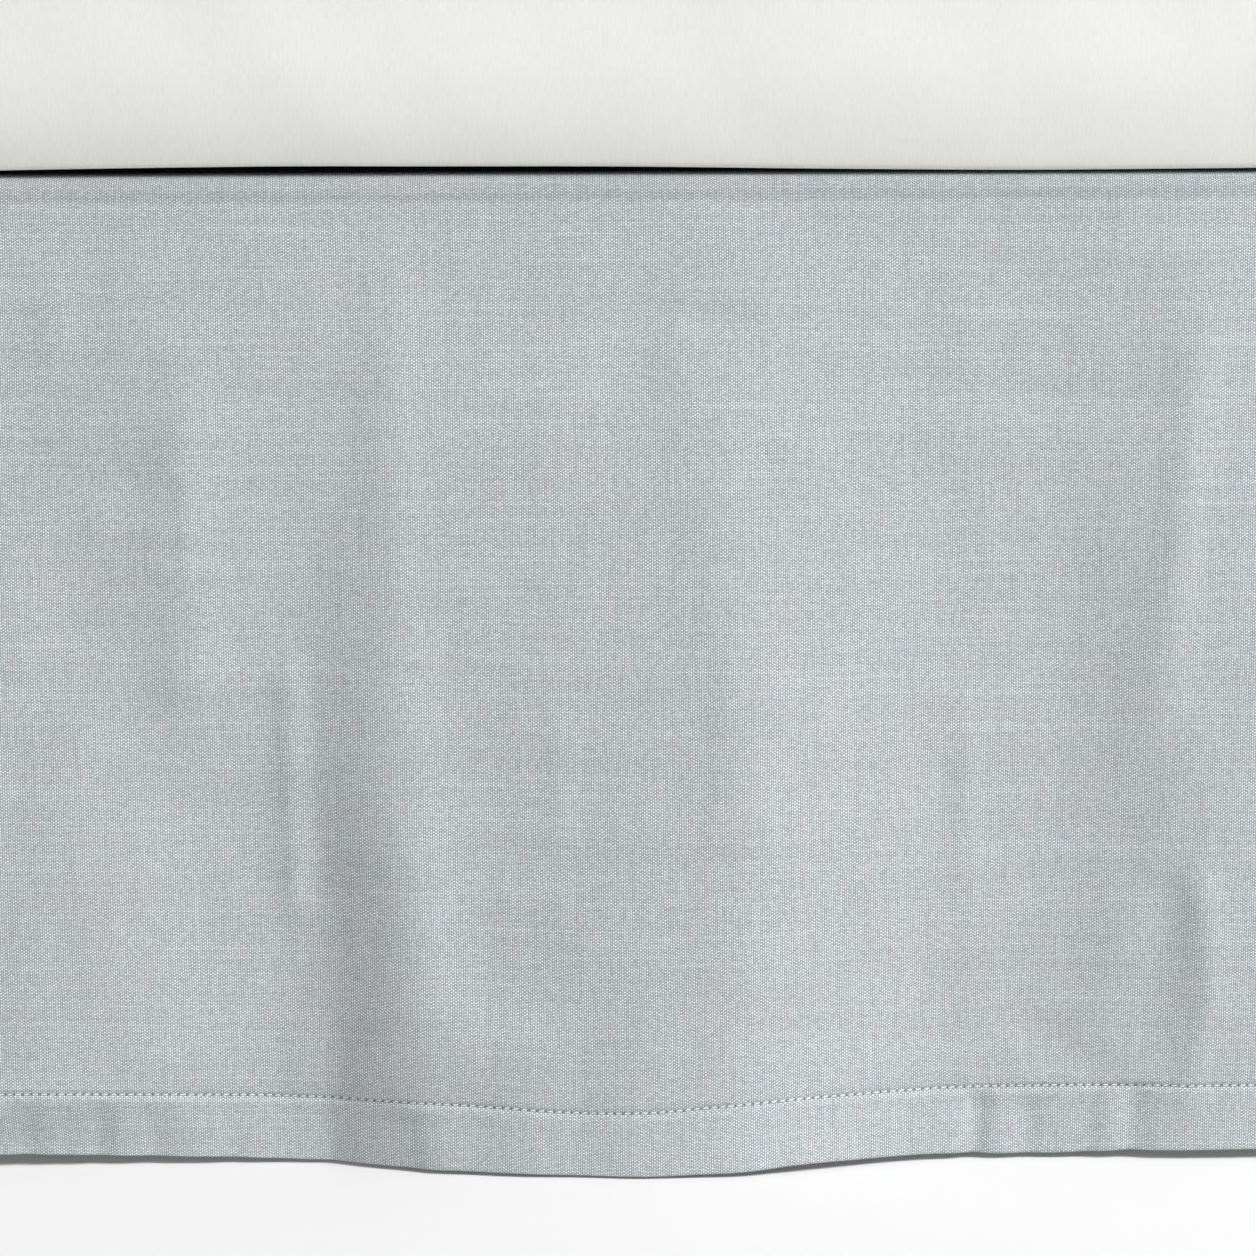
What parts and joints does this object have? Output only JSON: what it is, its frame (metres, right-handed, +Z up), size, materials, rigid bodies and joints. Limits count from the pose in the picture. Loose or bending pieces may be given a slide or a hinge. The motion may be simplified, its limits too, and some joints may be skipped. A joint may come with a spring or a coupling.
{
  "type": "bed skirt on a bed with base and mattress",
  "caption": "Tailored bed skirt: flat hemmed panels with soft folds, sewn to a deck cloth, hanging from under a mattress over a plain bed base to just above the floor.",
  "frame": {"origin": "on the floor, under the middle of the whole object's box", "axes": "+Z up, +X along the bed to its foot end, -Y out of the near long side, the one that faces the viewer"},
  "size_m": [1.9294, 1.0476, 0.6353],
  "materials": {
    "skirt_cloth": "plain-woven linen and cotton, pale grey-blue, with slubs",
    "deck_cloth": "plain off-white cotton",
    "mattress_sheet": "smooth white cotton sheet",
    "base_cloth": "plain base cover",
    "leg_wood": "satin stain"
  },
  "bodies": {
    "root": {"panel_near": "skirt_cloth", "panel_foot": "skirt_cloth", "panel_far": "skirt_cloth", "deck": "deck_cloth", "base": "base_cloth", "mattress": "mattress_sheet", "leg_head_near": "leg_wood", "leg_head_far": "leg_wood", "leg_middle_near": "leg_wood", "leg_middle_far": "leg_wood", "leg_foot_near": "leg_wood", "leg_foot_far": "leg_wood"}
  },
  "joints": []
}
